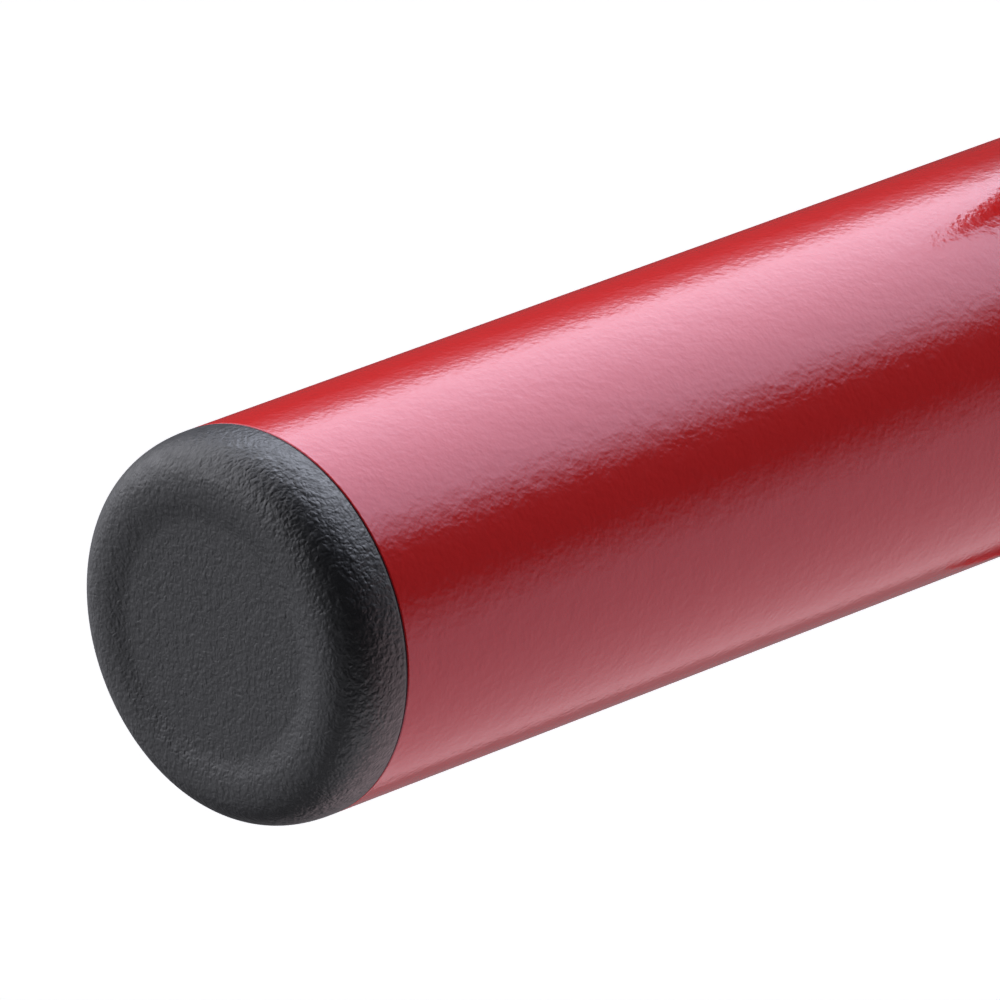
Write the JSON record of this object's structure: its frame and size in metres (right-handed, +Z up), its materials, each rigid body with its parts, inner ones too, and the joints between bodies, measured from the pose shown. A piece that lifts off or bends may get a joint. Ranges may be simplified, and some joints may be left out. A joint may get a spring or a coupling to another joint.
{
  "type": "post driver",
  "caption": "Manual post driver: a heavy red steel tube with an inner weight, a black dished end plug and a looped, rubber-gripped handle on each side.",
  "frame": {"origin": "centre of the open mouth, on the plane the driver stands on", "axes": "+Z up along the tube from the open mouth to the closed, plugged end; +X towards the right handle; +Y completes the frame"},
  "size_m": [0.2442, 0.0852, 0.6535],
  "materials": {
    "red_paint": "gloss powder coat",
    "black_plastic": "moulded, fine leather grain",
    "black_rubber": "ribbed, matte",
    "bare_steel": "mill finish"
  },
  "bodies": {
    "root": {"driver_tube": "red_paint", "end_plug": "black_plastic", "drive_weight": "bare_steel", "weight_weld": "bare_steel", "strike_plate": "bare_steel", "strike_plate_weld": "bare_steel", "mouth_collar": "red_paint", "collar_weld": "red_paint", "right_handle": "red_paint", "right_grip": "black_rubber", "right_upper_weld": "red_paint", "right_lower_weld": "red_paint", "left_handle": "red_paint", "left_grip": "black_rubber", "left_upper_weld": "red_paint", "left_lower_weld": "red_paint"}
  },
  "joints": []
}
